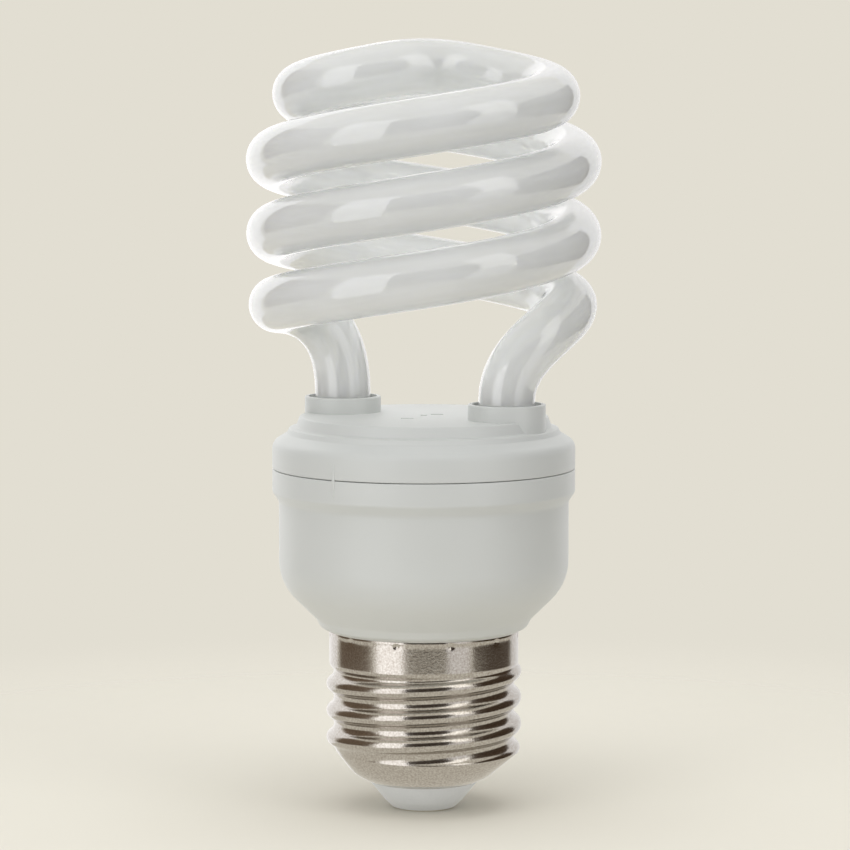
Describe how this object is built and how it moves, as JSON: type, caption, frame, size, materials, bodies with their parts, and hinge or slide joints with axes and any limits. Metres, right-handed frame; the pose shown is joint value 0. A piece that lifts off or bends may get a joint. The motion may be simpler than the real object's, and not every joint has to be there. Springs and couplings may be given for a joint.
{
  "type": "spiral energy saving bulb",
  "caption": "Compact fluorescent lamp: a white double-spiral glass tube on a moulded ballast housing with a nickel screw cap, for a standard lamp holder.",
  "frame": {"origin": "on the lamp's axis, at the underside of the centre contact", "axes": "+Z along the lamp's axis from the centre contact towards the crown of the spiral; -Y is the side that the picture shows"},
  "size_m": [0.0472, 0.0472, 0.103],
  "materials": {
    "coated_glass": "clear lime glass over a white phosphor coat",
    "white_moulding": "satin moulded PBT, off-white",
    "nickel_shell": "nickel-plated rolled brass, warm and bright",
    "tip_moulding": "pale moulded insulator",
    "cement": "set lamp cement, chalky",
    "tinned_brass": "tinned brass",
    "board_laminate": "phenolic paper laminate",
    "bare_wire": "tinned wire",
    "red_lead": "stranded lead in red insulation",
    "black_lead": "stranded lead in black insulation",
    "capacitor_sleeve": "shrink sleeve over an aluminium can",
    "film_epoxy": "dipped epoxy over film",
    "black_epoxy": "moulded epoxy",
    "ceramic_chip": "glazed ceramic chip",
    "glass_bead": "sealed glass bead",
    "fuse_sleeve": "white woven sleeve over a fusible resistor",
    "ferrite": "sintered ferrite, grey-black",
    "bobbin_moulding": "moulded bobbin",
    "copper_winding": "enamelled copper wire"
  },
  "bodies": {
    "root": {"glass_spiral": "coated_glass", "leg_cement": "cement", "tube_cover": "white_moulding", "housing_cup": "white_moulding", "screw_cap": "nickel_shell", "cap_insulator": "tip_moulding", "centre_contact": "tinned_brass", "ballast_board": "board_laminate", "wrap_pins": "tinned_brass", "electrode_leads": "bare_wire", "phase_lead": "red_lead", "neutral_lead": "black_lead", "filter_capacitor": "capacitor_sleeve", "resonant_capacitor": "film_epoxy", "blocking_capacitor": "film_epoxy", "trigger_diac": "glass_bead", "fuse_resistor": "fuse_sleeve", "rectifier_diodes": "black_epoxy", "chip_resistors": "ceramic_chip", "upper_transistor": "black_epoxy", "lower_transistor": "black_epoxy", "choke_core": "ferrite", "choke_bobbin": "bobbin_moulding", "choke_winding": "copper_winding", "toroid_core": "ferrite", "toroid_windings": "copper_winding", "filter_choke_core": "ferrite", "filter_choke_winding": "copper_winding"}
  },
  "joints": []
}
